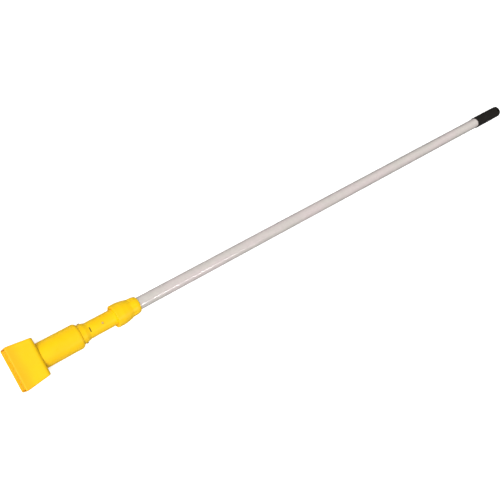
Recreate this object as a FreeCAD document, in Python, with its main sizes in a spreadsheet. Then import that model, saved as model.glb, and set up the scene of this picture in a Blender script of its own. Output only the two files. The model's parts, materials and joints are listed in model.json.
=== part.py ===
"""Clamp-jaw wet mop handle: twist collar, sliding clamp sleeve, two spring jaws, long tube and grip.

Every piece is drawn along +X from the mouth of the clamp (x = 0) with the tube's axis on z = 0.
Each body's Placement then moves it to the part's own frame: lying down, +Z up, the origin in the
middle of the length, on the surface under the clamp.
"""
import FreeCAD, Part
import math
import os
import Sketcher

V = FreeCAD.Vector

# Depth of a cut that goes right through any piece but the bell.
THROUGH = 80.0
# Radial room that a pressed-on piece is drawn with.
PRESS_GAP = 0.02

# Driving dimensions: alias, millimetres or degrees or a plain count, and what it is.
DRIVING = [
    ("overall_length", 1735.0, "mouth of the clamp to the tip of the grip"),
    ("running_gap", 0.3, "clearance between pieces that move on each other"),
    ("pin_gap", 0.05, "clearance of a hinge knuckle on its pin and of the thrust washer"),
    ("travel", 36.0, "slide of the clamp sleeve from closed to open"),
    # tube, its cover and what is inside it
    ("tube_start", 188.0, "lower end of the tube"),
    ("tube_length", 1524.0, "length of the tube"),
    ("tube_radius", 14.3, "outer radius of the aluminium tube"),
    ("tube_wall", 1.5, "wall of the aluminium tube"),
    ("cover_radius", 14.95, "outer radius of the vinyl cover"),
    ("cover_gap", 0.05, "room between the tube and its cover"),
    ("insert_length", 60.0, "dowel in the lower end of the tube"),
    ("plug_spigot", 18.0, "length of the end plug inside the tube"),
    ("plug_head", 2.0, "thickness of the end plug's disc"),
    ("fit_gap", 0.1, "room around a piece that is pushed into the tube"),
    # end grip
    ("grip_length", 124.0, "length of the grip"),
    ("grip_radius", 17.0, "outer radius of the grip"),
    ("hang_radius", 4.0, "radius of the hanging hole"),
    ("hang_inset", 11.5, "hanging hole to the tip"),
    ("grip_tip_round", 6.0, "rounding of the grip's tip"),
    ("grip_rim_round", 1.0, "rounding of the grip's lower rim"),
    # clamp sleeve: bell, barrel and neck in one moulding
    ("bell_length", 59.0, "length of the wide bell"),
    ("bell_mouth_half", 51.2, "half width of the bell at its mouth"),
    ("bell_rear_half", 43.8, "half width of the bell at its shoulder"),
    ("bell_half_height", 33.0, "half thickness of the bell, and the height of the axis"),
    ("bell_wall", 3.0, "wall of the bell"),
    ("bell_shoulder_round", 8.5, "rounding of the bell's rear shoulder, seen from the side"),
    ("bell_edge_round", 3.5, "rounding all round the bell's two flanks"),
    ("cavity_corner", 1.2, "cut corners of the bell's cavity"),
    ("bell_lip_round", 2.2, "rounding of the mouth's long outer edges"),
    ("bell_back_wall", 5.0, "wall behind the bell's cavity"),
    ("bell_root_round", 2.5, "fillet between the bell and the barrel"),
    ("barrel_half_width", 29.6, "half width of the oval barrel"),
    ("barrel_half_height", 27.0, "half height of the oval barrel"),
    ("barrel_wall", 2.6, "wall of the barrel"),
    ("barrel_end", 156.5, "rear end of the barrel"),
    ("barrel_end_round", 9.0, "rounding of the barrel's rear edge"),
    ("neck_root_radius", 23.4, "radius of the neck's root, at the barrel's end"),
    ("neck_waist", 165.0, "rear end of the neck's root"),
    ("neck_waist_radius", 22.7, "radius at the rear end of the root"),
    ("neck_start", 174.5, "where the neck reaches its own radius"),
    ("neck_radius", 19.4, "outer radius of the neck"),
    ("neck_end", 252.0, "rear end of the neck"),
    ("core_radius", 17.5, "outer radius of the threaded core"),
    ("bead_radius", 23.0, "radius of the bead that holds the collar on the neck"),
    ("bead_width", 3.0, "width of that bead"),
    ("screw_place", 163.5, "side screws in the neck's root"),
    ("screw_radius", 1.6, "shank of a side screw"),
    ("screw_tip", 18.4, "tip of a side screw, from the axis"),
    ("screw_head_radius", 2.3, "head of a side screw"),
    ("screw_head_height", 1.3, "height of a side screw's head"),
    ("slot_place", 177.0, "drain slot across the neck"),
    ("slot_length", 11.0, "length of the drain slot"),
    ("slot_width", 2.4, "width of the drain slot"),
    ("rivet_place", 208.0, "rivet through the core and the tube"),
    ("access_radius", 2.8, "hole in the neck over the rivet"),
    ("rivet_radius", 2.4, "shank of the rivet"),
    ("rivet_head_radius", 4.3, "head of the rivet"),
    ("rivet_head_height", 1.4, "height of the rivet's head"),
    ("rivet_head_sunk", 0.4, "how far the rivet's head lies under the core's surface"),
    ("rivet_head_flat", 2.6, "radius of the flat on the rivet's head"),
    # twist collar
    ("collar_start", 241.5, "lower rim of the collar"),
    ("collar_end", 305.5, "upper end of the collar"),
    ("collar_rim_radius", 27.2, "radius of the collar's rim"),
    ("collar_band_end", 260.0, "rear of the collar's rim band"),
    ("collar_band_radius", 27.0, "radius at the rear of the rim band"),
    ("collar_slope_place", 273.0, "upper part of the collar's slope"),
    ("collar_slope_radius", 24.8, "radius at that part of the slope"),
    ("collar_grip_start", 283.5, "rear of the slope"),
    ("collar_grip_radius", 22.0, "radius at the rear of the slope"),
    ("collar_top_place", 297.0, "start of the collar's upper end"),
    ("collar_top_radius", 21.3, "radius at the start of the upper end"),
    ("collar_end_radius", 18.9, "radius of the collar's end face"),
    ("collar_top_round", 3.5, "rounding of the collar's upper edge"),
    ("collar_rim_round", 1.5, "rounding of the collar's lower rim"),
    ("collar_lip", 5.0, "thickness of the collar's closed top"),
    ("collar_room", 1.5, "room between the core and the collar above the thread land"),
    ("cover_room", 0.5, "room between the vinyl cover and the collar's top"),
    ("scallop_radius", 14.0, "radius of a finger scallop"),
    ("scallop_centre", 34.9, "scallop's centre from the axis"),
    ("scallop_start", 281.5, "lower end of the scallops"),
    ("scallop_count", 8.0, "finger scallops around the collar"),
    ("land_start", 253.3, "front of the collar's thread land"),
    ("land_length", 9.0, "length of the thread land"),
    ("ring_inset", 0.7, "how far the retaining ring lies inside the collar's rim"),
    ("washer_width", 0.8, "thickness of the thrust washer"),
    # threaded core with its guide flange and jaw yoke
    ("core_end", 299.5, "rear end of the core"),
    ("stem_radius", 15.0, "outer radius of the stem"),
    ("stem_bore", 11.0, "bore of the stem"),
    ("flange_start", 112.0, "front of the guide flange"),
    ("flange_width", 8.0, "thickness of the guide flange"),
    ("cheek_inner", 19.0, "inner face of a yoke cheek"),
    ("cheek_width", 4.0, "thickness of a yoke cheek"),
    ("cheek_half_height", 11.0, "half height of a yoke cheek"),
    ("cheek_nose", 63.0, "front end of the yoke"),
    ("web_start", 84.0, "front of the web between the cheeks"),
    ("web_half_height", 2.0, "half thickness of that web"),
    # jaws and hinges
    ("hinge_place", 70.0, "jaw hinge from the mouth"),
    ("hinge_height", 6.0, "jaw hinge above or below the axis"),
    ("pin_radius", 2.0, "radius of a hinge pin"),
    ("pin_half_length", 24.4, "half length of a hinge pin"),
    ("cap_radius", 3.8, "radius of a push-on pin cap"),
    ("cap_width", 1.2, "thickness of a push-on pin cap"),
    ("jaw_lip", 2.0, "front of the jaw and of its grip strip"),
    ("jaw_lip_half", 47.3, "half width of the jaw at its front"),
    ("jaw_rear", 50.0, "rear edge of the wide part of the jaw"),
    ("jaw_rear_half", 39.0, "half width of the jaw at that edge"),
    ("jaw_outer_front", 28.8, "jaw's outer face at the mouth, from the axis"),
    ("jaw_outer_hinge", 9.0, "jaw's outer face at the hinge, from the axis"),
    ("jaw_plate", 3.3, "thickness of the jaw's plate"),
    ("strip_width", 4.5, "thickness of the jaw's grip strip"),
    ("strip_half", 46.4, "half width of the grip strip"),
    ("jaw_gap_half", 1.0, "half the gap between the closed grip strips"),
    ("jaw_rib_depth", 7.0, "depth of a jaw rib at the grip strip"),
    ("jaw_rib_width", 2.4, "thickness of a jaw rib"),
    ("jaw_rib_pitch", 17.0, "spacing of the jaw ribs"),
    ("tooth_pitch", 8.0, "spacing of the strip's teeth"),
    ("tooth_width", 4.0, "gap between two teeth"),
    ("tooth_depth", 3.0, "depth of the teeth"),
    ("knuckle_radius", 5.0, "radius of a jaw knuckle"),
    ("knuckle_inner", 9.0, "inner face of a knuckle"),
    ("knuckle_outer", 18.5, "outer face of a knuckle"),
    ("spring_coil_radius", 3.2, "mean radius of the torsion spring"),
    ("spring_wire", 1.2, "wire of the torsion spring"),
    ("spring_pitch", 1.6, "pitch of the spring's turns"),
    ("spring_turns", 7.25, "turns of the torsion spring"),
    ("spring_lean", 24.0, "lean of the spring's long leg, degrees"),
    ("spring_leg", 16.0, "long leg of the spring, on the jaw"),
    ("spring_stub", 5.0, "short leg of the spring"),
]


class Size:
    """A number with the spreadsheet formula that it comes from."""

    def __init__(self, number, formula):
        self.number = number
        self.formula = formula

    def _join(self, other, sign, result):
        return Size(result, f"({self.formula} {sign} {as_size(other).formula})")

    def __add__(self, other):
        return self._join(other, "+", self.number + as_size(other).number)

    def __sub__(self, other):
        return self._join(other, "-", self.number - as_size(other).number)

    def __mul__(self, other):
        return self._join(other, "*", self.number * as_size(other).number)

    def __truediv__(self, other):
        return self._join(other, "/", self.number / as_size(other).number)

    def __radd__(self, other):
        return as_size(other) + self

    def __rsub__(self, other):
        return as_size(other) - self

    def __rmul__(self, other):
        return as_size(other) * self

    def __neg__(self):
        return Size(-self.number, f"(0 - {self.formula})")


def as_size(value):
    """Takes a Size as it is, and gives a bare number a formula of its own."""
    return value if isinstance(value, Size) else Size(float(value), repr(float(value)))


class Sheet:
    """The spreadsheet of driving dimensions, whose aliases read back as Size attributes."""

    def __init__(self, document, rows):
        self.page = document.addObject("Spreadsheet::Sheet", "dimensions")
        for row, (alias, number, meaning) in enumerate(rows, start=1):
            self.page.set(f"A{row}", meaning)
            self.page.set(f"B{row}", str(number))
            self.page.setAlias(f"B{row}", alias)
        document.recompute()

    def __getattr__(self, alias):
        return Size(float(self.page.get(alias)), f"dimensions.{alias}")


doc = FreeCAD.newDocument("clamp_mop_handle")
dim = Sheet(doc, DRIVING)
sub_parts = []


# ---------------------------------------------------------------- helpers: bodies and sketches

def bind(feature, prop, size):
    """Ties one property of a feature to the sheet."""
    feature.setExpression(prop, as_size(size).formula)


def place(feature):
    """Moves a piece from its drawing place to the part's frame."""
    bind(feature, "Placement.Base.x", -dim.overall_length / 2)
    bind(feature, "Placement.Base.z", dim.bell_half_height)


def new_body(name):
    """An empty body with its own Label and Placement."""
    body = doc.addObject("PartDesign::Body", name)
    body.Label = name
    place(body)
    sub_parts.append(body)
    return body


def origin_feature(body, role):
    """The body's own origin plane or axis of that role."""
    return next(item for item in body.Origin.OriginFeatures if item.Role == role)


def new_sketch(body, name, plane="XZ_Plane", offset=None):
    """A sketch on one of the body's origin planes, moved along its normal by offset."""
    sketch = body.newObject("Sketcher::SketchObject", name)
    sketch.AttachmentSupport = [(origin_feature(body, plane), "")]
    sketch.MapMode = "FlatFace"
    if offset is not None:
        bind(sketch, "AttachmentOffset.Base.z", offset)
    return sketch


def pin_coordinate(sketch, kind, geometry, point, size):
    """Holds one coordinate of a point at a size from the sketch's origin."""
    size = as_size(size)
    if size.number == 0:
        axis = -2 if kind == "DistanceX" else -1
        sketch.addConstraint(Sketcher.Constraint("PointOnObject", geometry, point, axis))
        return
    index = sketch.addConstraint(Sketcher.Constraint(kind, -1, 1, geometry, point, size.number))
    sketch.setExpression(f"Constraints[{index}]", size.formula)


def polygon(sketch, corners):
    """A closed outline through corners given as (x, y) sizes."""
    corners = [(as_size(x), as_size(y)) for x, y in corners]
    count = len(corners)
    points = [V(x.number, y.number, 0) for x, y in corners]
    first = sketch.GeometryCount
    for step in range(count):
        sketch.addGeometry(Part.LineSegment(points[step], points[(step + 1) % count]), False)
    for step in range(count):
        following = first + (step + 1) % count
        sketch.addConstraint(Sketcher.Constraint("Coincident", first + step, 2, following, 1))
    for step, (x, y) in enumerate(corners):
        pin_coordinate(sketch, "DistanceX", first + step, 1, x)
        pin_coordinate(sketch, "DistanceY", first + step, 1, y)


def rectangle(sketch, low_x, low_y, high_x, high_y):
    """A rectangle between two corners."""
    polygon(sketch, [(low_x, low_y), (high_x, low_y), (high_x, high_y), (low_x, high_y)])


def circle(sketch, x, y, radius):
    """A circle at (x, y)."""
    x, y, radius = as_size(x), as_size(y), as_size(radius)
    index = sketch.addGeometry(Part.Circle(V(x.number, y.number, 0), V(0, 0, 1), radius.number), False)
    held = sketch.addConstraint(Sketcher.Constraint("Radius", index, radius.number))
    sketch.setExpression(f"Constraints[{held}]", radius.formula)
    pin_coordinate(sketch, "DistanceX", index, 3, x)
    pin_coordinate(sketch, "DistanceY", index, 3, y)


def ellipse(sketch, half_width, half_height):
    """An ellipse about the sketch's origin, wider along the sketch's own x."""
    half_width, half_height = as_size(half_width), as_size(half_height)
    shape = Part.Ellipse(V(half_width.number, 0, 0), V(0, half_height.number, 0), V(0, 0, 0))
    curve = sketch.addGeometry(shape, False)
    sketch.exposeInternalGeometry(curve)
    major, minor = curve + 1, curve + 2
    sketch.addConstraint(Sketcher.Constraint("Coincident", curve, 3, -1, 1))
    sketch.addConstraint(Sketcher.Constraint("Horizontal", major))
    for axis, kind, half in ((major, "DistanceX", half_width), (minor, "DistanceY", half_height)):
        ends = (1, 2)
        line = sketch.Geometry[axis]
        along = line.EndPoint - line.StartPoint
        if along.x + along.y < 0:
            ends = (2, 1)
        span = half * 2
        held = sketch.addConstraint(Sketcher.Constraint(kind, axis, ends[0], axis, ends[1], span.number))
        sketch.setExpression(f"Constraints[{held}]", span.formula)


# ---------------------------------------------------------------- helpers: features

def finish_feature(body, feature, grows):
    """Recomputes and makes sure that the feature added or removed material as it should."""
    base = getattr(feature, "BaseFeature", None)
    before = base.Shape.Volume if base is not None else 0.0
    doc.recompute()
    change = feature.Shape.Volume - before
    if (change > 0) != grows or abs(change) < 1e-6:
        raise RuntimeError(f"{body.Label}.{feature.Name} changed the volume by {change:.3f}")
    return feature


def revolve(body, sketch, name, axis="H_Axis"):
    """Turns a sketch right round one of its own axes or lines."""
    feature = body.newObject("PartDesign::Revolution", name)
    feature.Profile = sketch
    feature.ReferenceAxis = (sketch, [axis])
    feature.Angle = 360.0
    return finish_feature(body, feature, True)


def pad(body, sketch, name, length, both_sides=False):
    """Pads a sketch along its normal."""
    feature = body.newObject("PartDesign::Pad", name)
    feature.Profile = sketch
    bind(feature, "Length", length)
    feature.Midplane = both_sides
    return finish_feature(body, feature, True)


def pocket(body, sketch, name, length, both_sides=False, along_normal=False):
    """Cuts a sketch away; along_normal sends the cut along the sketch's normal."""
    feature = body.newObject("PartDesign::Pocket", name)
    feature.Profile = sketch
    bind(feature, "Length", length)
    feature.Midplane = both_sides
    feature.Reversed = along_normal
    return finish_feature(body, feature, False)


def loft_away(body, first, last, name):
    """Cuts away the straight-sided solid between two sketches."""
    feature = body.newObject("PartDesign::SubtractiveLoft", name)
    feature.Profile = first
    feature.Sections = [last]
    feature.Ruled = True
    return finish_feature(body, feature, False)


def edges_where(shape, wanted):
    """Names of the edges whose middle point passes a test."""
    names = []
    for number, edge in enumerate(shape.Edges, start=1):
        first, last = edge.ParameterRange
        if wanted(edge.valueAt((first + last) / 2), edge):
            names.append(f"Edge{number}")
    return names


def fillet(body, name, wanted, radius):
    """Rounds the edges of the body's tip that pass a test."""
    tip = body.Tip
    names = edges_where(tip.Shape, wanted)
    if not names:
        raise RuntimeError(f"{body.Label}.{name} found no edge")
    feature = body.newObject("PartDesign::Fillet", name)
    feature.Base = (tip, names)
    bind(feature, "Radius", radius)
    doc.recompute()
    return feature


def near(value, size):
    """True where a coordinate is at a size, within a hundredth."""
    return abs(value - as_size(size).number) < 0.01


def ring_body(name, start, end, inner, outer):
    """A plain ring or tube about the X axis, between two stations and two radii."""
    body = new_body(name)
    sketch = new_sketch(body, f"{name}_profile")
    rectangle(sketch, start, inner, end, outer)
    revolve(body, sketch, f"{name}_turned")
    return body


def cross_hole(body, name, place_x, radius):
    """A round hole right through the piece along Z."""
    sketch = new_sketch(body, f"{name}_circle", "XY_Plane")
    circle(sketch, place_x, 0, radius)
    return pocket(body, sketch, name, THROUGH, both_sides=True)


def group_of_solids(name, solids):
    """One piece made of separate solids."""
    group = doc.addObject("Part::Feature", name)
    group.Label = name
    group.Shape = Part.makeCompound(solids)
    place(group)
    sub_parts.append(group)


def repeat_along_y(body, original, name, pitch, extra):
    """Repeats a feature to both sides along Y, extra times on each side."""
    for backwards, tag in ((False, "right"), (True, "left")):
        row = body.newObject("PartDesign::LinearPattern", f"{name}_{tag}")
        row.Originals = [original]
        row.Direction = (origin_feature(body, "Y_Axis"), [""])
        row.Reversed = backwards
        bind(row, "Length", pitch * extra)
        row.Occurrences = extra + 1
        body.Tip = row
        doc.recompute()


# ---------------------------------------------------------------- tube, cover, insert, plug, grip

rivet_hole = dim.rivet_radius + dim.fit_gap
tube_bore = dim.tube_radius - dim.tube_wall


def make_tube():
    """Aluminium tube with the rivet's hole across it."""
    end = dim.tube_start + dim.tube_length
    body = ring_body("aluminium_tube", dim.tube_start, end, tube_bore, dim.tube_radius)
    cross_hole(body, "tube_rivet_hole", dim.rivet_place, rivet_hole)


def make_cover():
    """Vinyl cover over the whole tube."""
    end = dim.tube_start + dim.tube_length
    body = ring_body("vinyl_cover", dim.tube_start, end, dim.tube_radius + dim.cover_gap,
                     dim.cover_radius)
    cross_hole(body, "cover_rivet_hole", dim.rivet_place, rivet_hole)


def make_insert():
    """Dowel that stiffens the tube where the rivet passes."""
    start = dim.tube_start
    end = start + dim.insert_length
    outer = tube_bore - dim.fit_gap
    bevel = 1.5
    body = new_body("tube_insert")
    sketch = new_sketch(body, "insert_profile")
    polygon(sketch, [(start, 0), (end, 0), (end, outer - bevel), (end - bevel, outer),
                     (start + bevel, outer), (start, outer - bevel)])
    revolve(body, sketch, "insert_turned")
    cross_hole(body, "insert_rivet_hole", dim.rivet_place, rivet_hole)


def make_end_plug():
    """Plug that closes the tube's upper end under the grip."""
    seat = dim.tube_start + dim.tube_length
    spigot = tube_bore - dim.fit_gap
    bevel = 1.2
    body = new_body("tube_end_plug")
    sketch = new_sketch(body, "plug_profile")
    polygon(sketch, [(seat - dim.plug_spigot, 0), (seat + dim.plug_head, 0),
                     (seat + dim.plug_head, dim.tube_radius), (seat, dim.tube_radius),
                     (seat, spigot), (seat - dim.plug_spigot + bevel, spigot),
                     (seat - dim.plug_spigot, spigot - bevel)])
    revolve(body, sketch, "plug_turned")


def make_grip():
    """Soft grip with a blind bore, a rounded tip and a hanging hole."""
    tip = dim.overall_length
    rim = tip - dim.grip_length
    bore = dim.cover_radius + dim.fit_gap
    floor = dim.tube_start + dim.tube_length + dim.plug_head + dim.fit_gap
    body = new_body("end_grip")
    sketch = new_sketch(body, "grip_profile")
    polygon(sketch, [(rim, bore), (floor, bore), (floor, 0), (tip, 0),
                     (tip, dim.grip_radius), (rim, dim.grip_radius)])
    revolve(body, sketch, "grip_turned")
    fillet(body, "grip_tip_round",
           lambda p, e: near(p.x, tip) and near(math.hypot(p.y, p.z), dim.grip_radius),
           dim.grip_tip_round)
    fillet(body, "grip_rim_round",
           lambda p, e: near(p.x, rim) and near(math.hypot(p.y, p.z), dim.grip_radius),
           dim.grip_rim_round)
    cross_hole(body, "hang_hole", tip - dim.hang_inset, dim.hang_radius)


# ---------------------------------------------------------------- clamp sleeve

bell_back = dim.bell_length - dim.bell_back_wall


def bell_half_width(station):
    """The bell's half width at a station, on the straight taper from mouth to shoulder."""
    slope = (dim.bell_mouth_half - dim.bell_rear_half) / dim.bell_length
    return dim.bell_mouth_half - slope * station


def add_bell(body):
    """Outside of the bell: a tapered box with a rounded shoulder and a softened mouth."""
    high, length = dim.bell_half_height, dim.bell_length
    front, rear = dim.bell_mouth_half, dim.bell_rear_half
    outline = new_sketch(body, "bell_plan", "XY_Plane")
    polygon(outline, [(0, -front), (length, -rear), (length, rear), (0, front)])
    pad(body, outline, "bell_outside", high * 2, both_sides=True)
    fillet(body, "bell_shoulder",
           lambda p, e: near(p.x, length) and near(abs(p.z), high) and near(p.y, 0),
           dim.bell_shoulder_round)
    fillet(body, "bell_lip",
           lambda p, e: near(p.x, 0) and near(abs(p.z), high) and near(p.y, 0),
           dim.bell_lip_round)
    fillet(body, "bell_flank_edges",
           lambda p, e: p.x > 0.1 and near(abs(p.y), bell_half_width(as_size(p.x))),
           dim.bell_edge_round)


def cavity_section(body, name, station):
    """Cross-section of the bell's cavity at a station: a rectangle with cut corners."""
    wide = bell_half_width(station) - dim.bell_wall
    high = dim.bell_half_height - dim.bell_wall
    cut = dim.cavity_corner
    sketch = new_sketch(body, name, "YZ_Plane", station)
    polygon(sketch, [(wide, cut - high), (wide, high - cut), (wide - cut, high), (cut - wide, high),
                     (-wide, high - cut), (-wide, cut - high), (cut - wide, -high),
                     (wide - cut, -high)])
    return sketch


def hollow_bell(body):
    """Cavity of the bell, open at the mouth."""
    mouth = cavity_section(body, "cavity_mouth", as_size(-1))
    back = cavity_section(body, "cavity_back", bell_back)
    loft_away(body, mouth, back, "bell_cavity")


def on_barrel(point):
    """True for a point on the barrel's oval outside."""
    wide = point.y / dim.barrel_half_width.number
    high = point.z / dim.barrel_half_height.number
    return abs(math.hypot(wide, high) - 1) < 0.001


def add_barrel_and_neck(body):
    """Outside of the barrel and the neck, with the bead that holds the collar."""
    start = dim.bell_length - 2
    barrel = new_sketch(body, "barrel_oval", "YZ_Plane", start)
    ellipse(barrel, dim.barrel_half_width, dim.barrel_half_height)
    pad(body, barrel, "barrel_outside", dim.barrel_end - start)
    fillet(body, "bell_root_round",
           lambda p, e: abs(p.x - dim.bell_length.number) < 0.3 and on_barrel(p), dim.bell_root_round)
    fillet(body, "barrel_end_round", lambda p, e: near(p.x, dim.barrel_end), dim.barrel_end_round)
    root = dim.barrel_end - dim.barrel_end_round
    bead = dim.neck_end - dim.bead_width
    rear = new_sketch(body, "neck_profile")
    polygon(rear, [(root, 0), (dim.neck_end, 0), (dim.neck_end, dim.bead_radius),
                   (bead, dim.bead_radius), (bead, dim.neck_radius),
                   (dim.neck_start, dim.neck_radius), (dim.neck_waist, dim.neck_waist_radius),
                   (dim.barrel_end, dim.neck_root_radius), (root, dim.neck_root_radius)])
    revolve(body, rear, "neck_outside")


def bore_barrel_and_neck(body):
    """Bores the barrel and the neck, from the bell's cavity to the rear end."""
    front = bell_back - 5
    back = dim.barrel_end - dim.barrel_wall - 1
    bore = new_sketch(body, "barrel_bore_oval", "YZ_Plane", front)
    ellipse(bore, dim.barrel_half_width - dim.barrel_wall, dim.barrel_half_height - dim.barrel_wall)
    pocket(body, bore, "barrel_bore", back - front, along_normal=True)
    neck = new_sketch(body, "neck_bore_circle", "YZ_Plane", back - 5)
    circle(neck, 0, 0, dim.core_radius + dim.running_gap)
    pocket(body, neck, "neck_bore", dim.neck_end - back + 10, along_normal=True)


def make_sleeve():
    """Bell, barrel and neck in one moulding, with drain slots and the holes for its screws and rivet."""
    body = new_body("clamp_sleeve")
    add_bell(body)
    hollow_bell(body)
    add_barrel_and_neck(body)
    bore_barrel_and_neck(body)
    slot = new_sketch(body, "drain_slot_outline", "XY_Plane")
    rectangle(slot, dim.slot_place - dim.slot_width / 2, -dim.slot_length / 2,
              dim.slot_place + dim.slot_width / 2, dim.slot_length / 2)
    pocket(body, slot, "drain_slots", THROUGH, both_sides=True)
    cross_hole(body, "rivet_access", dim.rivet_place, dim.access_radius)
    sides = new_sketch(body, "side_screw_circle")
    circle(sides, dim.screw_place, 0, dim.screw_radius + PRESS_GAP)
    pocket(body, sides, "side_screw_holes", THROUGH, both_sides=True)


def make_side_screws():
    """Two short screws in the neck's root, whose tips end just outside the core."""
    station = dim.screw_place.number
    root_slope = (dim.neck_root_radius - dim.neck_waist_radius) / (dim.neck_waist - dim.barrel_end)
    head_front = dim.screw_place - dim.screw_head_radius - dim.barrel_end
    seat = (dim.neck_root_radius - root_slope * head_front).number + PRESS_GAP
    tip = dim.screw_tip.number
    height = dim.screw_head_height.number
    screws = []
    for flank in (1, -1):
        along = V(0, flank, 0)
        shank = Part.makeCylinder(dim.screw_radius.number, seat - tip, V(station, flank * tip, 0), along)
        head = Part.makeCylinder(dim.screw_head_radius.number, height, V(station, flank * seat, 0), along)
        rim = [edge for edge in head.Edges if near(edge.CenterOfMass.y * flank, seat + height)]
        screws.append(shank.fuse(head.makeFillet(0.6, rim)))
    group_of_solids("side_screws", screws)


# ---------------------------------------------------------------- twist collar, ring and washer

counterbore = dim.bead_radius + dim.running_gap


def make_collar():
    """Collar nut: a plain rim, a scalloped tapered grip, a thread land and a closed top."""
    start, end = dim.collar_start, dim.collar_end
    thread = dim.core_radius + dim.running_gap
    cavity = dim.core_radius + dim.collar_room
    top_bore = dim.cover_radius + dim.cover_room
    land_end = dim.land_start + dim.land_length
    lip_start = end - dim.collar_lip
    body = new_body("collar_nut")
    sketch = new_sketch(body, "collar_profile")
    polygon(sketch, [
        (start, counterbore), (start, dim.collar_rim_radius),
        (dim.collar_band_end, dim.collar_band_radius),
        (dim.collar_slope_place, dim.collar_slope_radius),
        (dim.collar_grip_start, dim.collar_grip_radius),
        (dim.collar_top_place, dim.collar_top_radius), (end, dim.collar_end_radius),
        (end, top_bore), (lip_start, top_bore), (lip_start, cavity), (land_end, cavity),
        (land_end, thread), (dim.land_start, thread), (dim.land_start, counterbore)])
    revolve(body, sketch, "collar_turned")
    fillet(body, "collar_top_round",
           lambda p, e: near(p.x, end) and near(math.hypot(p.y, p.z), dim.collar_end_radius),
           dim.collar_top_round)
    fillet(body, "collar_rim_round",
           lambda p, e: near(p.x, start) and near(math.hypot(p.y, p.z), dim.collar_rim_radius),
           dim.collar_rim_round)
    scallop = new_sketch(body, "scallop_circle", "YZ_Plane", dim.scallop_start)
    circle(scallop, 0, dim.scallop_centre, dim.scallop_radius)
    cut = pocket(body, scallop, "scallop", end - dim.scallop_start + 5, along_normal=True)
    around = body.newObject("PartDesign::PolarPattern", "scallops")
    around.Originals = [cut]
    around.Axis = (origin_feature(body, "X_Axis"), [""])
    around.Angle = 360.0
    bind(around, "Occurrences", dim.scallop_count)
    body.Tip = around
    doc.recompute()


def make_retaining_ring():
    """Ring pressed into the collar's rim, in front of the neck's bead."""
    front = dim.collar_start + dim.ring_inset
    back = dim.neck_end - dim.bead_width - dim.running_gap
    ring_body("retaining_ring", front, back, dim.neck_radius + dim.running_gap, counterbore)


def make_thrust_washer():
    """Washer between the neck's bead and the collar's thread land."""
    front = dim.land_start - dim.washer_width - dim.pin_gap
    ring_body("thrust_washer", front, front + dim.washer_width,
              dim.core_radius + dim.running_gap, dim.bead_radius)


# ---------------------------------------------------------------- threaded core, rivet

# Height of the rivet heads' seats above the axis.
rivet_seat = dim.core_radius - dim.rivet_head_height - dim.rivet_head_sunk


def make_core():
    """Core that holds the tube, guides the sleeve and carries the jaws' yoke."""
    body = new_body("threaded_core")
    stem_end = dim.tube_start - 3
    bore_end = dim.tube_start - 8
    flange_end = dim.flange_start + dim.flange_width
    rear = new_sketch(body, "core_profile")
    socket = dim.cover_radius + dim.fit_gap
    polygon(rear, [(flange_end - 2, dim.stem_bore), (bore_end, dim.stem_bore), (bore_end, 0),
                   (dim.tube_start, 0), (dim.tube_start, socket), (dim.core_end, socket),
                   (dim.core_end, dim.core_radius), (stem_end, dim.core_radius),
                   (stem_end - 4, dim.stem_radius), (flange_end - 2, dim.stem_radius)])
    revolve(body, rear, "core_turned")
    flange = new_sketch(body, "flange_oval", "YZ_Plane", dim.flange_start)
    ellipse(flange, dim.barrel_half_width - dim.barrel_wall - dim.running_gap,
            dim.barrel_half_height - dim.barrel_wall - dim.running_gap)
    pad(body, flange, "guide_flange", dim.flange_width)

    bevel, over = 4.0, 5.0
    high, web = dim.cheek_half_height, dim.web_half_height
    nose = dim.cheek_nose
    cheek = new_sketch(body, "cheek_outline")
    polygon(cheek, [(nose, bevel - high), (nose + bevel, -high), (flange_end - 1, -high),
                    (flange_end - 1, high), (nose + bevel, high), (nose, high - bevel)])
    pad(body, cheek, "yoke_block", (dim.cheek_inner + dim.cheek_width) * 2, both_sides=True)
    gap = new_sketch(body, "yoke_gap_outline")
    polygon(gap, [(nose - over, -high - over), (dim.flange_start, -high - over),
                  (dim.flange_start, -web), (dim.web_start, -web), (dim.web_start, web),
                  (dim.flange_start, web), (dim.flange_start, high + over),
                  (nose - over, high + over)])
    pocket(body, gap, "yoke_gap", dim.cheek_inner * 2, both_sides=True)

    pins = new_sketch(body, "pin_holes_outline")
    for side in (1, -1):
        circle(pins, dim.hinge_place, dim.hinge_height * side, dim.pin_radius + PRESS_GAP)
    pocket(body, pins, "pin_holes", THROUGH, both_sides=True)
    cross_hole(body, "core_rivet_hole", dim.rivet_place, rivet_hole)
    for side, tag in ((1, "upper"), (-1, "lower")):
        seat = new_sketch(body, f"rivet_seat_{tag}", "XY_Plane", rivet_seat * side)
        circle(seat, dim.rivet_place, 0, dim.rivet_head_radius + dim.fit_gap)
        pocket(body, seat, f"rivet_seat_cut_{tag}", dim.core_radius, along_normal=side > 0)


def make_rivet():
    """Rivet along Z through the core, the cover, the tube and the insert."""
    seat = rivet_seat
    top = seat + dim.rivet_head_height
    body = new_body("core_rivet")
    sketch = new_sketch(body, "rivet_profile")
    axis = dim.rivet_place
    side = axis + dim.rivet_radius
    head = axis + dim.rivet_head_radius
    flat = axis + dim.rivet_head_flat
    polygon(sketch, [(axis, -top), (flat, -top), (head, -seat), (side, -seat), (side, seat),
                     (head, seat), (flat, top), (axis, top)])
    revolve(body, sketch, "rivet_turned", axis="Edge8")


# ---------------------------------------------------------------- jaws, pins, caps and springs

def jaw_outer(station):
    """Height of a jaw's outer face above the axis at a station."""
    slope = (dim.jaw_outer_front - dim.jaw_outer_hinge) / dim.hinge_place
    return dim.jaw_outer_front - slope * station


strip_back = dim.jaw_lip + dim.strip_width


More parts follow.
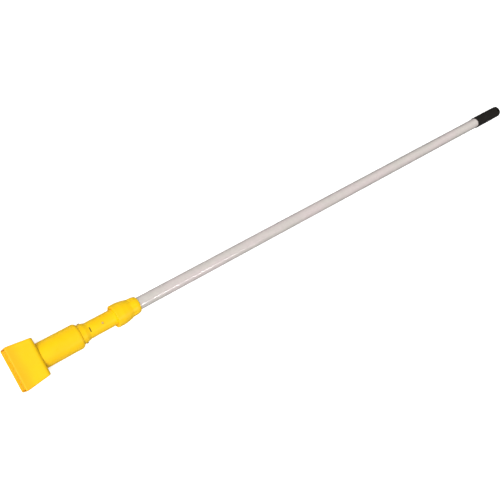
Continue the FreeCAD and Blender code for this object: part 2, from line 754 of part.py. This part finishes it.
def add_jaw_plate(body, name, side):
    """The sloping plate, trimmed to its plan, with a window for the spring."""
    lip, tail = dim.jaw_lip, dim.hinge_place - 4
    plate = dim.jaw_plate
    outline = [(lip, jaw_outer(lip) - plate), (tail, jaw_outer(tail) - plate),
               (tail, jaw_outer(tail)), (lip + 3, jaw_outer(lip + 3)), (lip, jaw_outer(lip) - 2)]
    sketch = new_sketch(body, f"{name}_profile")
    polygon(sketch, [(x, z * side) for x, z in outline])
    pad(body, sketch, f"{name}_plate", dim.jaw_lip_half * 2, both_sides=True)

    trim = new_sketch(body, f"{name}_trim_outline", "XY_Plane")
    front, far, back = lip - 2, dim.jaw_lip_half + 5, tail + 10
    for flank in (1, -1):
        polygon(trim, [(front, far * flank), (front, (dim.jaw_lip_half + 0.2) * flank),
                       (dim.jaw_rear, dim.jaw_rear_half * flank),
                       (dim.jaw_rear, dim.knuckle_outer * flank),
                       (back, dim.knuckle_outer * flank), (back, far * flank)])
    pocket(body, trim, f"{name}_trim", THROUGH, both_sides=True)
    window = new_sketch(body, f"{name}_window_outline", "XY_Plane")
    rectangle(window, dim.hinge_place - 9, -dim.knuckle_inner, back, dim.knuckle_inner)
    pocket(body, window, f"{name}_spring_window", THROUGH, both_sides=True)


def add_jaw_ribs(body, name, side):
    """Five ribs under the plate, behind the grip strip."""
    plate = dim.jaw_plate
    back = dim.jaw_rear - 6
    rib = new_sketch(body, f"{name}_rib_outline")
    outline = [(strip_back, jaw_outer(strip_back) - plate / 2), (back, jaw_outer(back) - plate / 2),
               (back, jaw_outer(back) - plate - 1),
               (strip_back, jaw_outer(strip_back) - plate - dim.jaw_rib_depth)]
    polygon(rib, [(x, z * side) for x, z in outline])
    first = pad(body, rib, f"{name}_rib", dim.jaw_rib_width, both_sides=True)
    repeat_along_y(body, first, f"{name}_ribs", dim.jaw_rib_pitch, 2)


def add_jaw_knuckles(body, name, side):
    """Two knuckles on the hinge pin, on either side of the spring."""
    width = dim.knuckle_outer - dim.knuckle_inner
    for tag, far_face in (("left", dim.knuckle_outer), ("right", -dim.knuckle_inner)):
        knuckle = new_sketch(body, f"{name}_knuckle_{tag}_circle", "XZ_Plane", -far_face)
        circle(knuckle, dim.hinge_place, dim.hinge_height * side, dim.knuckle_radius)
        pad(body, knuckle, f"{name}_knuckle_{tag}", width)
    bore = new_sketch(body, f"{name}_pin_bore_circle")
    circle(bore, dim.hinge_place, dim.hinge_height * side, dim.pin_radius + dim.pin_gap)
    pocket(body, bore, f"{name}_pin_bore", THROUGH, both_sides=True)


def make_jaw(name, side):
    """One jaw: a ribbed sloping plate with two knuckles behind."""
    body = new_body(name)
    add_jaw_plate(body, name, side)
    add_jaw_ribs(body, name, side)
    add_jaw_knuckles(body, name, side)


def make_grip_strip(name, side):
    """Toothed strip under the front of a jaw, which bites on the mop's headband."""
    plate = dim.jaw_plate
    body = new_body(name)
    sketch = new_sketch(body, f"{name}_profile")
    outline = [(dim.jaw_lip, dim.jaw_gap_half), (strip_back, dim.jaw_gap_half),
               (strip_back, jaw_outer(strip_back) - plate), (dim.jaw_lip, jaw_outer(dim.jaw_lip) - plate)]
    polygon(sketch, [(x, as_size(z) * side) for x, z in outline])
    pad(body, sketch, f"{name}_bar", dim.strip_half * 2, both_sides=True)
    notch = new_sketch(body, f"{name}_tooth_outline", "YZ_Plane", dim.jaw_lip - 1)
    low, high = dim.jaw_gap_half - 1, dim.jaw_gap_half + dim.tooth_depth
    wide, narrow = dim.tooth_width / 2, dim.tooth_width / 5
    polygon(notch, [(-wide, low * side), (wide, low * side), (narrow, high * side),
                    (-narrow, high * side)])
    first = pocket(body, notch, f"{name}_tooth_gap", dim.strip_width + 2, along_normal=True)
    repeat_along_y(body, first, f"{name}_teeth", dim.tooth_pitch, 5)


def make_hinge_pin(name, side):
    """Straight pin along Y."""
    body = new_body(name)
    sketch = new_sketch(body, f"{name}_circle")
    circle(sketch, dim.hinge_place, dim.hinge_height * side, dim.pin_radius)
    pad(body, sketch, f"{name}_rod", dim.pin_half_length * 2, both_sides=True)


def make_pin_caps():
    """Four push-on caps, one on each end of both pins, as one group of solids."""
    outer = dim.cheek_inner.number + dim.cheek_width.number
    caps = []
    for side in (1, -1):
        for flank in (1, -1):
            face = V(dim.hinge_place.number, flank * outer, side * dim.hinge_height.number)
            along = V(0, flank, 0)
            width = dim.cap_width.number
            cap = Part.makeCylinder(dim.cap_radius.number, width, face, along)
            hole = Part.makeCylinder(dim.pin_radius.number + PRESS_GAP, width, face, along)
            caps.append(cap.cut(hole))
    group_of_solids("pin_caps", caps)


def make_jaw_spring(name, side):
    """Torsion spring around a hinge pin, with a long leg that lifts the jaw's plate."""
    radius = dim.spring_coil_radius.number
    wire = dim.spring_wire.number / 2
    turns = dim.spring_turns.number
    width = dim.spring_pitch.number * turns
    helix = Part.makeHelix(dim.spring_pitch.number, width, radius)
    section = Part.Wire(Part.makeCircle(wire, V(radius, 0, 0), V(0, 1, 0)))
    coil = Part.Wire(helix).makePipeShell([section], True, True)
    start = V(radius, 0, 0)
    turn = 2 * math.pi * turns
    end = V(radius * math.cos(turn), radius * math.sin(turn), width)
    onward = V(-math.sin(turn), math.cos(turn), 0)
    leg = Part.makeCylinder(wire, dim.spring_leg.number, start, V(0, -1, 0))
    stub = Part.makeCylinder(wire, dim.spring_stub.number, end, onward)
    spring = coil.fuse([leg, stub, Part.makeSphere(wire, start), Part.makeSphere(wire, end)])
    # the coil's axis goes to -Y and the long leg forward, leaning out towards the jaw's plate
    lean = math.radians(dim.spring_lean.number)
    outward = V(-math.sin(lean), 0, -math.cos(lean))
    backward = V(math.cos(lean), 0, -math.sin(lean))
    spring.Placement = FreeCAD.Placement(V(0, width / 2, 0),
                                         FreeCAD.Rotation(outward, backward, V(0, -1, 0), "XYZ"))
    if side < 0:
        spring = spring.mirror(V(0, 0, 0), V(0, 0, 1))
    spring.translate(V(dim.hinge_place.number, 0, side * dim.hinge_height.number))
    group_of_solids(name, spring.Solids)


def build():
    """Makes every piece."""
    make_tube()
    make_cover()
    make_insert()
    make_end_plug()
    make_grip()
    make_sleeve()
    make_side_screws()
    make_collar()
    make_retaining_ring()
    make_thrust_washer()
    make_core()
    make_rivet()
    for name, side in (("upper_jaw", 1), ("lower_jaw", -1)):
        make_jaw(name, side)
        make_grip_strip(f"{name}_grip_strip", side)
    for name, side in (("upper_hinge_pin", 1), ("lower_hinge_pin", -1)):
        make_hinge_pin(name, side)
    make_pin_caps()
    for name, side in (("upper_jaw_spring", 1), ("lower_jaw_spring", -1)):
        make_jaw_spring(name, side)


def check_and_export():
    """Stops on any failed object or shape, then writes one STEP file for each piece."""
    doc.recompute()
    for item in doc.Objects:
        if "Invalid" in item.State or "Error" in item.State:
            raise RuntimeError(f"{item.Name} has state {item.State}")
    for piece in sub_parts:
        if piece.Shape.isNull() or not piece.Shape.isValid():
            raise RuntimeError(f"{piece.Label} has no valid shape")
    os.makedirs("parts", exist_ok=True)
    for piece in sub_parts:
        box = piece.Shape.BoundBox
        piece.Shape.exportStep(f"parts/{piece.Label}.step")
        print(f"{piece.Label}: {len(piece.Shape.Solids)} solid, {piece.Shape.Volume / 1000:.2f} cm3, "
              f"x {box.XMin:.1f} {box.XMax:.1f}, y {box.YMin:.1f} {box.YMax:.1f}, "
              f"z {box.ZMin:.1f} {box.ZMax:.1f}")


build()
check_and_export()
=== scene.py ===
"""Looks of the string mop handle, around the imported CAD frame: materials, floor, light and camera.

The part lies along X, with the mouth of its clamp at -X and the end grip at +X. Lengths are in
metres, angles in degrees and colours in linear light.
"""

import json
import math

import bpy
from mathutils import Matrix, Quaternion, Vector


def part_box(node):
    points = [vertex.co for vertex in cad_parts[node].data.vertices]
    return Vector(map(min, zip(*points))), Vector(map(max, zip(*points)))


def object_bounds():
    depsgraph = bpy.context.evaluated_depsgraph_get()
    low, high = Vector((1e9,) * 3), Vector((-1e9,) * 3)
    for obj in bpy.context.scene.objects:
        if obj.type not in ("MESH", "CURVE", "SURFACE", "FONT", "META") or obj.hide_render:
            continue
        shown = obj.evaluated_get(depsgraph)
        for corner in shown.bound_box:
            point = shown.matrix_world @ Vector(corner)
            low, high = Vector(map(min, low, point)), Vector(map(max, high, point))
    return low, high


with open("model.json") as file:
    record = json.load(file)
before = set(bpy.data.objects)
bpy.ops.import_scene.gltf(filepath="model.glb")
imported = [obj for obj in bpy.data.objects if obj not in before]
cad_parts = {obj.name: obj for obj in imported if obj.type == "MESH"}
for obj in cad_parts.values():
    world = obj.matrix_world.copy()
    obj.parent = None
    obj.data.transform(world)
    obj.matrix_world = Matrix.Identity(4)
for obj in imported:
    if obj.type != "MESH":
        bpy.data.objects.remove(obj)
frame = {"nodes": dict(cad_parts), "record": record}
cad_low, cad_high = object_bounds()

MM = 0.001


# ---------------------------------------------------------------- places read from the frame

axis_z = sum(corner.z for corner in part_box("aluminium_tube")) / 2


# ---------------------------------------------------------------- how a material is built

class Paint:
    """A material under construction: its node tree, its shader and short ways to add nodes."""

    def __init__(self, name, color, roughness, **sockets):
        self.material = bpy.data.materials.new(name)
        self.material.use_nodes = True
        self.nodes = self.material.node_tree.nodes
        self.links = self.material.node_tree.links
        self.shader = self.nodes["Principled BSDF"]
        self.shader.inputs["Base Color"].default_value = (*color, 1.0)
        self.shader.inputs["Roughness"].default_value = roughness
        for socket, value in sockets.items():
            self.shader.inputs[socket.replace("_", " ")].default_value = value
        self.place = self.nodes.new("ShaderNodeTexCoord").outputs["Object"]

    def add(self, kind, inputs=(), **settings):
        """A node with some settings, whose inputs are numbers, colours or other nodes' sockets."""
        node = self.nodes.new(kind)
        for name, value in settings.items():
            setattr(node, name, value)
        for socket, value in dict(inputs).items():
            if isinstance(value, bpy.types.NodeSocket):
                self.links.new(value, node.inputs[socket])
            else:
                node.inputs[socket].default_value = value
        return node

    def drive(self, socket, value):
        """Lets a node's output set one of the shader's sockets."""
        self.links.new(value, self.shader.inputs[socket])

    def along(self, axis):
        """One coordinate of the part's frame."""
        return self.add("ShaderNodeSeparateXYZ", {"Vector": self.place}).outputs[axis]

    def stretched(self, x, y, z):
        """Coordinates whose texture is drawn out along the axes with small factors."""
        inputs = {"Vector": self.place, "Scale": (x, y, z)}
        return self.add("ShaderNodeMapping", inputs).outputs[0]

    def noise(self, per_metre, detail=3.0, roughness=0.5, place=None):
        """Noise from 0 to 1 with that many features to a metre."""
        inputs = {"Vector": place or self.place, "Scale": per_metre, "Detail": detail,
                  "Roughness": roughness}
        return self.add("ShaderNodeTexNoise", inputs).outputs["Fac"]

    def compute(self, operation, first, second=0.0):
        """An operation on one or two values."""
        return self.add("ShaderNodeMath", {0: first, 1: second}, operation=operation).outputs[0]

    def span(self, value, low, high, to_low=0.0, to_high=1.0):
        """Maps low..high to another range, smoothly and without passing its ends."""
        inputs = {"Value": value, "From Min": low, "From Max": high, "To Min": to_low,
                  "To Max": to_high}
        node = self.add("ShaderNodeMapRange", inputs, interpolation_type="SMOOTHSTEP")
        return node.outputs["Result"]

    def mix(self, share, first, second):
        """Two colours mixed by the second one's share."""
        inputs = {0: share}
        for index, color in ((6, first), (7, second)):
            is_socket = isinstance(color, bpy.types.NodeSocket)
            inputs[index] = color if is_socket else (*color, 1.0)
        return self.add("ShaderNodeMix", inputs, data_type="RGBA").outputs[2]

    def bump(self, *layers):
        """Stacks bumps, each a (height socket, depth in millimetres, strength)."""
        normal = None
        for height, depth, strength in layers:
            inputs = {"Height": height, "Distance": depth * MM, "Strength": strength}
            if normal is not None:
                inputs["Normal"] = normal
            normal = self.add("ShaderNodeBump", inputs).outputs["Normal"]
        self.drive("Normal", normal)
        self.drive("Coat Normal", normal)


def grey(level):
    """A colour without hue."""
    return (level, level, level)


# ---------------------------------------------------------------- moulded plastics

PARTING_CREST = 0.1 * MM
PARTING_FOOT = 0.45 * MM
# Painted shade at the mouth of the clamp: full up to the first of these distances behind the mouth,
# gone by the second.
MOUTH_SHADE_FULL = 5.0 * MM
MOUTH_SHADE_END = 30.0 * MM


def moulded(name, color, shade, roughness, grain=0.03, specular=0.3):
    """Moulded plastic: cloudy colour, a fine die texture, flow marks, scuffs and a parting line."""
    paint = Paint(name, color, roughness, Specular_IOR_Level=specular)
    cloud = paint.noise(22.0, 4.0, 0.6)
    flow = paint.noise(60.0, 3.0, 0.55, paint.stretched(0.25, 1.0, 1.0))
    tint = paint.mix(paint.span(cloud, 0.35, 0.7), color, shade)
    tint = paint.mix(paint.span(flow, 0.45, 0.8, 0.0, 0.35), tint, shade)

    scuffs = paint.noise(420.0, 2.0, 0.7, paint.stretched(0.12, 1.0, 1.0))
    scuffed = paint.span(scuffs, 0.66, 0.74, 0.0, 0.25)
    scuff_color = tuple(min(1.0, part * 1.12 + 0.004) for part in color)
    paint.drive("Base Color", paint.mix(scuffed, tint, scuff_color))

    dull = paint.span(paint.noise(160.0, 3.0), 0.3, 0.7, roughness - 0.07, roughness + 0.07)
    paint.drive("Roughness", paint.compute("ADD", dull, paint.compute("MULTIPLY", scuffed, 0.4)))

    from_middle = paint.compute("ABSOLUTE", paint.compute("SUBTRACT", paint.along("Z"), axis_z))
    parting = paint.span(from_middle, PARTING_CREST, PARTING_FOOT, 1.0, 0.0)
    paint.bump((parting, 0.15, 0.6),
               (paint.noise(2600.0, 2.0), grain, 0.5),
               (paint.noise(45.0, 2.0), 0.12, 0.25))
    return paint


def yellow_plastic():
    """Bright yellow nylon, with painted shade deepening it towards the mouth of the clamp."""
    paint = moulded("yellow_plastic", (0.93, 0.575, 0.003), (0.91, 0.535, 0.003), 0.45,
                    specular=0.2)
    body_color = paint.shader.inputs["Base Color"].links[0].from_socket
    # Painted shade: over the front of the clamp the yellow is mixed towards a deeper orange,
    # standing in for the shade on its front. It is strongest at the mouth and fades out behind it.
    behind_mouth = paint.compute("SUBTRACT", paint.along("X"), cad_low.x)
    mouth_shade = paint.span(behind_mouth, MOUTH_SHADE_FULL, MOUTH_SHADE_END, 0.9, 0.0)
    paint.drive("Base Color", paint.mix(mouth_shade, body_color, (0.93, 0.445, 0.006)))
    return paint.material


def jaw_plastic():
    """The jaws' yellow, a shade deeper and duller."""
    paint = moulded("jaw_plastic", (0.92, 0.49, 0.004), (0.88, 0.44, 0.004), 0.6, specular=0.05)
    return paint.material


def core_plastic():
    """Dark grey glass-filled nylon with a coarser surface."""
    return moulded("core_plastic", (0.040, 0.040, 0.043), (0.025, 0.025, 0.027), 0.6, 0.06).material


def acetal():
    """Smooth white acetal."""
    return moulded("acetal", (0.80, 0.80, 0.78), (0.74, 0.73, 0.70), 0.35, 0.015).material


# ---------------------------------------------------------------- vinyls

def vinyl():
    """Light-grey vinyl film over the tube: faint pink and green bands, dents and a patchy gloss."""
    warm = (0.595, 0.52, 0.505)
    cool = (0.56, 0.525, 0.485)
    pink = (0.60, 0.50, 0.515)
    green = (0.535, 0.54, 0.49)
    streak = (0.52, 0.475, 0.455)
    mark = (0.42, 0.39, 0.37)
    paint = Paint("vinyl", (0.57, 0.52, 0.495), 0.33, Specular_IOR_Level=0.25,
                  Coat_Roughness=0.06)
    rubbed = paint.noise(60.0, 3.0, 0.7)
    paint.drive("Coat Weight", paint.span(rubbed, 0.46, 0.56, 0.0, 1.0))

    long_way = paint.stretched(0.35, 1.0, 1.0)
    patches = paint.noise(28.0, 3.0, 0.55, long_way)
    tint = paint.mix(paint.span(patches, 0.35, 0.65), warm, cool)

    round_tube = paint.compute("ARCTAN2", paint.along("Y"),
                               paint.compute("SUBTRACT", paint.along("Z"), axis_z))
    wander = paint.noise(5.0, 2.0, 0.5, paint.stretched(1.0, 0.1, 0.1))
    turn = paint.compute("ADD", paint.compute("MULTIPLY", round_tube, 5.0),
                         paint.compute("MULTIPLY", wander, 6.0))
    bands = paint.compute("SINE", turn)
    tint = paint.mix(paint.span(bands, 0.2, 1.0, 0.0, 0.18), tint, pink)
    tint = paint.mix(paint.span(bands, -1.0, -0.2, 0.06, 0.0), tint, green)

    streaks = paint.noise(240.0, 4.0, 0.6, paint.stretched(0.08, 1.0, 1.0))
    tint = paint.mix(paint.span(streaks, 0.3, 0.8, 0.0, 0.5), tint, streak)
    marks = paint.noise(500.0, 2.0, 0.6, paint.stretched(0.3, 1.0, 1.0))
    paint.drive("Base Color", paint.mix(paint.span(marks, 0.7, 0.76, 0.0, 0.5), tint, mark))

    gloss = paint.noise(120.0, 3.0, 0.6, long_way)
    paint.drive("Roughness", paint.span(gloss, 0.3, 0.7, 0.1, 0.3))
    paint.bump((paint.noise(110.0, 3.0, 0.6, long_way), 0.8, 0.5),
               (paint.noise(1800.0, 2.0), 0.02, 0.4))
    return paint.material


def black_vinyl():
    """Soft black vinyl with a pebbled surface and dusty high spots."""
    clean = (0.0070, 0.0058, 0.0045)
    dusty = (0.015, 0.0125, 0.0100)
    paint = Paint("black_vinyl", (0.008, 0.007, 0.006), 0.62, Specular_IOR_Level=0.2)
    pebbles = paint.add("ShaderNodeTexVoronoi", {"Vector": paint.place, "Scale": 620.0},
                        feature="SMOOTH_F1").outputs["Distance"]
    dust = paint.noise(90.0, 4.0, 0.65)
    paint.drive("Base Color", paint.mix(paint.span(dust, 0.45, 0.75), clean, dusty))
    paint.drive("Roughness", paint.span(paint.noise(200.0, 3.0), 0.3, 0.7, 0.5, 0.72))
    paint.bump((pebbles, 0.25, 0.6), (paint.noise(60.0, 2.0), 0.3, 0.3))
    return paint.material


# ---------------------------------------------------------------- metals and wood

def drawn_metal(name, color, shade, roughness, along_scale):
    """Metal with fine draw marks and small dull spots."""
    paint = Paint(name, color, roughness, Metallic=1.0)
    lines = paint.noise(1500.0, 3.0, 0.7, paint.stretched(*along_scale))
    tint = paint.mix(paint.span(lines, 0.3, 0.7), color, shade)
    spots = paint.noise(180.0, 4.0, 0.6)
    spot_color = tuple(part * 0.7 for part in shade)
    paint.drive("Base Color", paint.mix(paint.span(spots, 0.6, 0.8, 0.0, 0.5), tint, spot_color))
    paint.drive("Roughness", paint.span(lines, 0.25, 0.75, roughness - 0.08, roughness + 0.12))
    paint.bump((lines, 0.03, 0.35))
    return paint.material


def tube_aluminium():
    """Bright tube, drawn along X."""
    return drawn_metal("tube_aluminium", (0.80, 0.80, 0.81), (0.70, 0.70, 0.72), 0.34, (0.03, 1, 1))


def steel():
    """Zinc-plated pins and caps, drawn along Y."""
    return drawn_metal("steel", (0.62, 0.61, 0.58), (0.50, 0.49, 0.47), 0.36, (1, 0.05, 1))


def rivet_brass():
    """Dull brass, drawn along Z."""
    return drawn_metal("rivet_brass", (0.80, 0.60, 0.24), (0.66, 0.47, 0.17), 0.5, (1, 1, 0.3))


def spring_steel():
    """Black phosphated steel, its marks along Y."""
    return drawn_metal("spring_steel", (0.10, 0.10, 0.105), (0.06, 0.06, 0.065), 0.45, (1, 0.3, 1))


def hardwood():
    """Turned dowel, its grain along X."""
    pale = (0.56, 0.38, 0.21)
    dark = (0.42, 0.26, 0.13)
    pores = (0.33, 0.20, 0.10)
    paint = Paint("hardwood", (0.50, 0.33, 0.18), 0.6)
    grain = paint.noise(260.0, 5.0, 0.65, paint.stretched(0.06, 1.0, 1.0))
    inputs = {"Vector": paint.stretched(0.1, 1.0, 1.0), "Scale": 70.0, "Distortion": 4.0,
              "Detail": 2.0}
    rings = paint.add("ShaderNodeTexWave", inputs, wave_type="RINGS",
                      rings_direction="X").outputs["Fac"]
    tint = paint.mix(paint.span(rings, 0.2, 0.8), pale, dark)
    paint.drive("Base Color", paint.mix(paint.span(grain, 0.45, 0.75), tint, pores))
    paint.drive("Roughness", paint.span(grain, 0.3, 0.7, 0.5, 0.72))
    paint.bump((grain, 0.1, 0.5))
    return paint.material


# ---------------------------------------------------------------- materials onto the CAD nodes

MAKERS = {
    "yellow_plastic": yellow_plastic, "vinyl": vinyl, "tube_aluminium": tube_aluminium,
    "black_vinyl": black_vinyl, "core_plastic": core_plastic, "jaw_plastic": jaw_plastic,
    "steel": steel, "rivet_brass": rivet_brass, "spring_steel": spring_steel,
    "acetal": acetal, "hardwood": hardwood,
}


def dress_nodes():
    """Gives every CAD node the material of its slot in the record."""
    paints = {slot: maker() for slot, maker in MAKERS.items()}
    for part in frame["record"]["subparts"]:
        mesh = frame["nodes"][part["node"]].data
        mesh.materials.clear()
        mesh.materials.append(paints[part["material_slot"]])


# ---------------------------------------------------------------- floor and world

# The camera sees both as white. Other rays find them dimmer, and the floor's light falls off
# towards the grip, so that the sides of the yellow and grey pieces don't wash out.
FLOOR_HALF = 20.0
FLOOR_DROP = 0.2 * MM
FLOOR_SEEN = 0.8
FLOOR_GLOW = 0.6
FLOOR_BOUNCE_NEAR = 0.78
FLOOR_BOUNCE_FAR = 0.15
FLOOR_NEAR_X = -0.4
FLOOR_FAR_X = 0.6
FLOOR_REFLECTED = 0.12
WORLD_LIGHT = 0.3


def ray_is(nodes, kind):
    """1 for rays of a kind, 0 for all others."""
    return nodes.new("ShaderNodeLightPath").outputs[f"Is {kind} Ray"]


def floor_material():
    """White where the camera sees it, darker in reflections and as a source of light."""
    paint = Paint("floor_white", grey(FLOOR_SEEN), 0.9, Specular_IOR_Level=0.0)
    seen = ray_is(paint.nodes, "Camera")
    far = paint.span(paint.along("X"), FLOOR_NEAR_X, FLOOR_FAR_X)
    bounce = paint.mix(far, grey(FLOOR_BOUNCE_NEAR), grey(FLOOR_BOUNCE_FAR))
    unseen = paint.mix(ray_is(paint.nodes, "Glossy"), bounce, grey(FLOOR_REFLECTED))
    paint.drive("Base Color", paint.mix(seen, unseen, grey(FLOOR_SEEN)))
    paint.shader.inputs["Emission Color"].default_value = (1.0, 1.0, 1.0, 1.0)
    paint.drive("Emission Strength", paint.compute("MULTIPLY", seen, FLOOR_GLOW))
    return paint.material


def make_floor():
    """A plain sheet just under the part."""
    signs = ((-1, -1), (1, -1), (1, 1), (-1, 1))
    corners = [(x * FLOOR_HALF, y * FLOOR_HALF, -FLOOR_DROP) for x, y in signs]
    mesh = bpy.data.meshes.new("floor")
    mesh.from_pydata(corners, [], [(0, 1, 2, 3)])
    mesh.materials.append(floor_material())
    floor = bpy.data.objects.new("floor", mesh)
    bpy.context.scene.collection.objects.link(floor)


def make_world():
    """Even light from all round, weak beside the main light, and white where the camera sees it."""
    world = bpy.data.worlds.new("studio")
    world.use_nodes = True
    tree = world.node_tree
    background = tree.nodes["Background"]
    background.inputs["Color"].default_value = (1.0, 1.0, 1.0, 1.0)
    level = tree.nodes.new("ShaderNodeMapRange")
    level.inputs["To Min"].default_value = WORLD_LIGHT
    tree.links.new(ray_is(tree.nodes, "Camera"), level.inputs["Value"])
    tree.links.new(level.outputs["Result"], background.inputs["Strength"])
    bpy.context.scene.world = world


# ---------------------------------------------------------------- lights

MAIN_PLACE = (-1.6, -0.02, 3.0)
MAIN_STRENGTH = 3.5
MAIN_ANGLE = 40.0
STRIP_X = 0.25
STRIP_Y = -1.2
STRIP_Z = 1.2
STRIP_LENGTH = 0.9
STRIP_WIDTH = 0.24
STRIP_WATTS = 13.0


def place_light(name, kind, place, aim):
    """A light that looks at a point, its long side along X."""
    lamp = bpy.data.objects.new(name, bpy.data.lights.new(name, kind))
    lamp.location = place
    towards = (Vector(aim) - Vector(place)).normalized()
    lamp.rotation_mode = "QUATERNION"
    lamp.rotation_quaternion = towards.to_track_quat("-Z", "Y")
    bpy.context.scene.collection.objects.link(lamp)
    return lamp


def make_lights():
    """A broad even light overhead, and a long box that only draws gloss along the tube."""
    main = place_light("overhead", "SUN", MAIN_PLACE, (0.0, 0.0, 0.0))
    main.data.energy = MAIN_STRENGTH
    main.data.angle = math.radians(MAIN_ANGLE)
    strip = place_light("strip", "AREA", (STRIP_X, STRIP_Y, STRIP_Z), (STRIP_X, 0.0, axis_z))
    strip.data.shape = "RECTANGLE"
    strip.data.size = STRIP_LENGTH
    strip.data.size_y = STRIP_WIDTH
    strip.data.energy = STRIP_WATTS
    strip.visible_diffuse = False


# ---------------------------------------------------------------- camera

# The camera looks at this point in X and Y, at the height of the tube's axis. The lens and the
# sensor are in millimetres.
CAMERA_AIM = (-0.2306, -0.0142)
CAMERA_DISTANCE = 1.7071
CAMERA_AZIMUTH = 179.81
CAMERA_ELEVATION = 60.08
CAMERA_ROLL = 61.68
CAMERA_LENS = 48.2
CAMERA_SENSOR = 36.0


def make_camera():
    """The view from above the mouth, rolled so that the handle runs up to the right."""
    azimuth = math.radians(CAMERA_AZIMUTH)
    elevation = math.radians(CAMERA_ELEVATION)
    back = Vector((math.cos(azimuth) * math.cos(elevation),
                   math.sin(azimuth) * math.cos(elevation),
                   math.sin(elevation)))
    level = (-back).to_track_quat("-Z", "Y")
    roll = Quaternion((0.0, 0.0, 1.0), math.radians(CAMERA_ROLL))
    data = bpy.data.cameras.new("camera")
    data.lens = CAMERA_LENS
    data.sensor_width = CAMERA_SENSOR
    camera = bpy.data.objects.new("camera", data)
    camera.location = Vector((*CAMERA_AIM, axis_z)) + back * CAMERA_DISTANCE
    camera.rotation_mode = "QUATERNION"
    camera.rotation_quaternion = level @ roll
    bpy.context.scene.collection.objects.link(camera)
    bpy.context.scene.camera = camera


dress_nodes()
make_floor()
make_world()
make_lights()
make_camera()
bpy.context.scene.view_settings.view_transform = "Standard"
bpy.context.scene.view_settings.look = "None"
